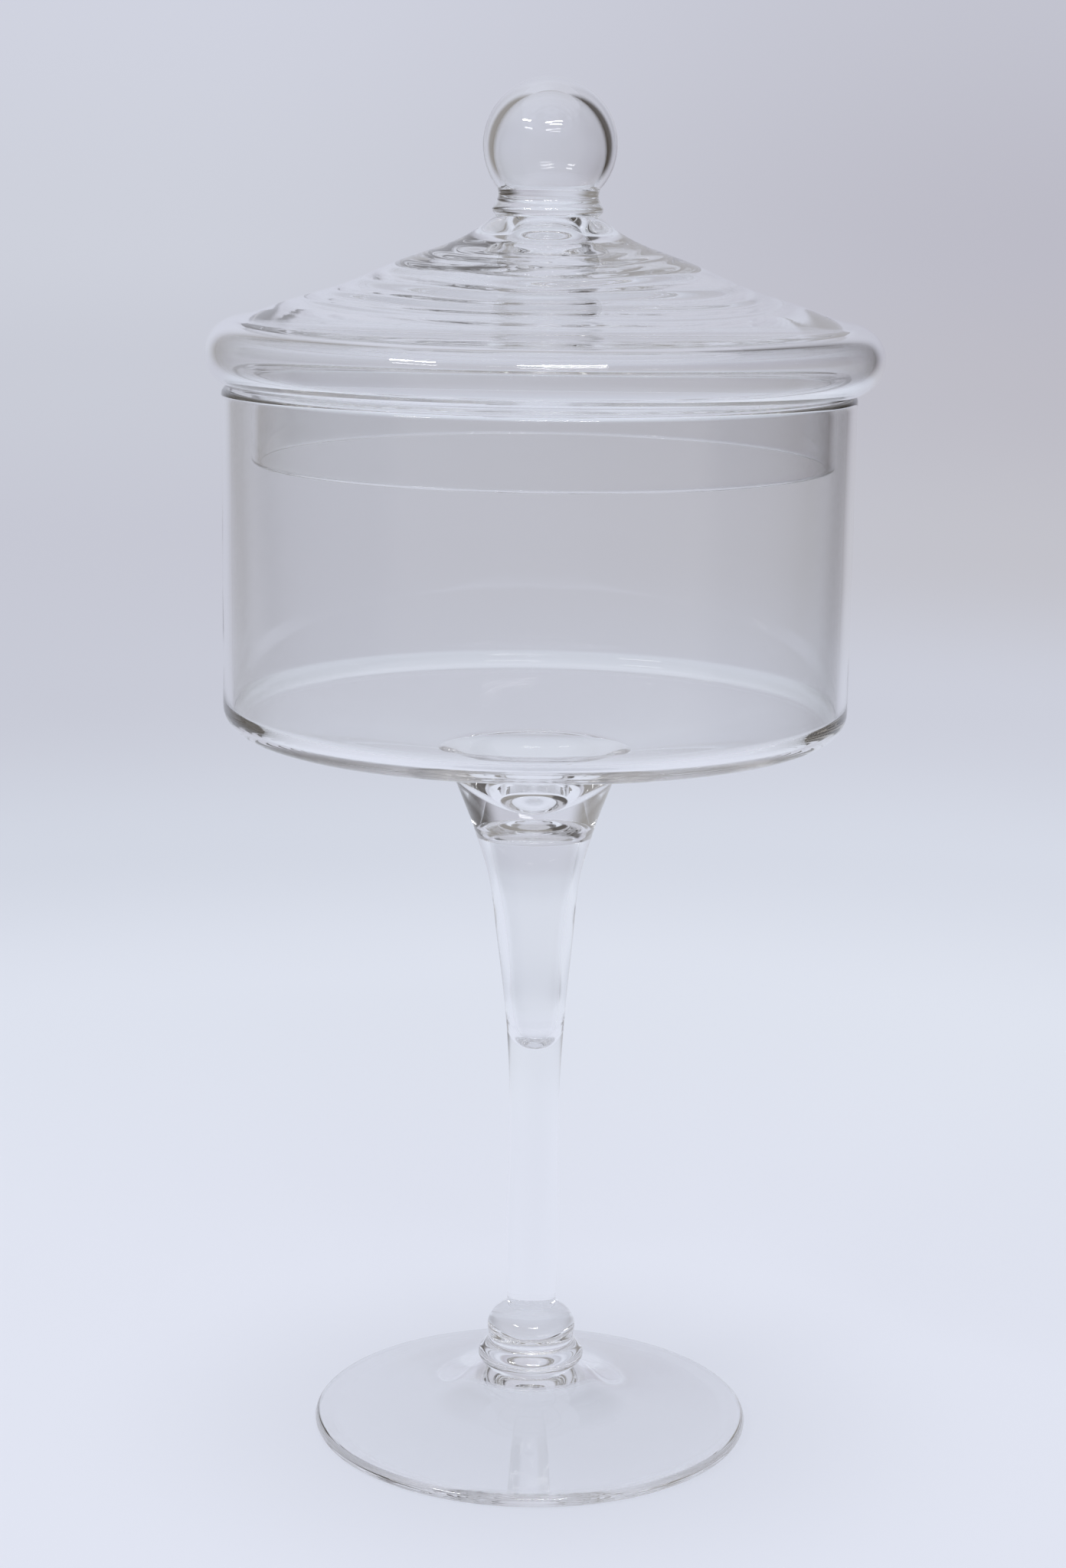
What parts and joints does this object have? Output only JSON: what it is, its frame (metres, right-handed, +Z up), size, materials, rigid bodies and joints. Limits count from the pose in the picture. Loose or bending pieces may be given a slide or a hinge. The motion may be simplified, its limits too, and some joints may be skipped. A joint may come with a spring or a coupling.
{
  "type": "lidded glass canister",
  "caption": "Clear glass canister with a cylindrical bowl on a tall tapered stem and round foot, and a domed lift-off lid with a ball knob.",
  "frame": {"origin": "centre of the foot's resting ring, on the surface the canister stands on", "axes": "+Z up along the canister's axis; the canister is round, so X and Y are free"},
  "size_m": [0.1922, 0.1922, 0.3983],
  "materials": {
    "clear_glass": "polished, clear, hand blown"
  },
  "bodies": {
    "vessel": {"foot": "clear_glass", "knop_lower": "clear_glass", "knop_upper": "clear_glass", "stem": "clear_glass", "stem_boss": "clear_glass", "bowl": "clear_glass"},
    "lid": {"lid_dome": "clear_glass", "knob_collar": "clear_glass", "knob_ball": "clear_glass"}
  },
  "joints": [
    {"name": "lid_lift", "type": "slide", "parent": "vessel", "child": "lid", "axis": [0, 0, 1], "range_m": [0, 0.08]}
  ]
}
